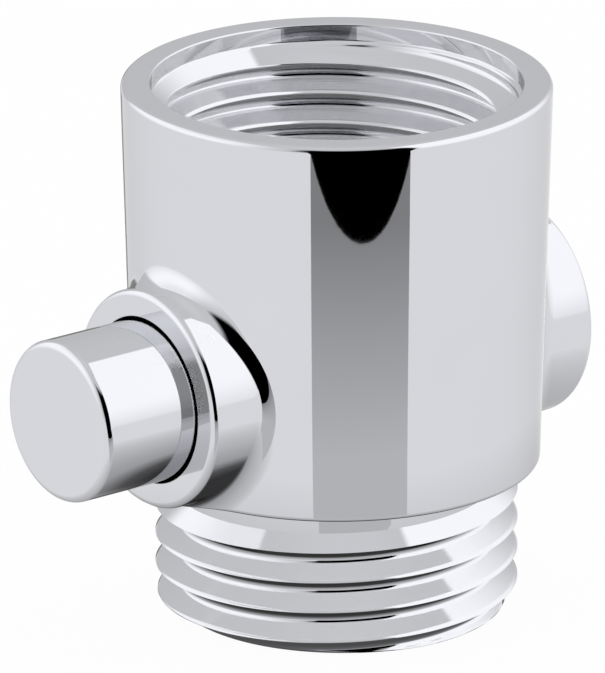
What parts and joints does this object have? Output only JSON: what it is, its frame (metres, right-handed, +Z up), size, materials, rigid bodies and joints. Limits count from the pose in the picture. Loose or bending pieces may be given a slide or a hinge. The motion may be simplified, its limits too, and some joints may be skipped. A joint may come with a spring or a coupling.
{
  "type": "hand shower hose adapter",
  "caption": "Inline threaded adapter with a round tapered body, a socket above, a spigot below and a push-button shuttle valve across it.",
  "frame": {"origin": "centre of the spigot's end face, on the flow axis", "axes": "+Z up the flow axis to the inlet socket, +X along the shuttle towards the button that is flush at rest"},
  "size_m": [0.0342, 0.0248, 0.0315],
  "materials": {
    "body_chrome": "bright plated",
    "button_chrome": "bright plated, satin end face",
    "spool_brass": "turned",
    "seal_rubber": "matt moulded"
  },
  "bodies": {
    "housing": {"valve_body": "body_chrome", "inlet_washer": "seal_rubber"},
    "shuttle": {"spool": "spool_brass", "left_button": "button_chrome", "right_button": "button_chrome", "left_seal_ring": "seal_rubber", "right_seal_ring": "seal_rubber"}
  },
  "joints": [
    {"name": "shuttle_slide", "type": "slide", "parent": "housing", "child": "shuttle", "axis": [1, 0, 0], "range_m": [0, 0.00635]}
  ]
}
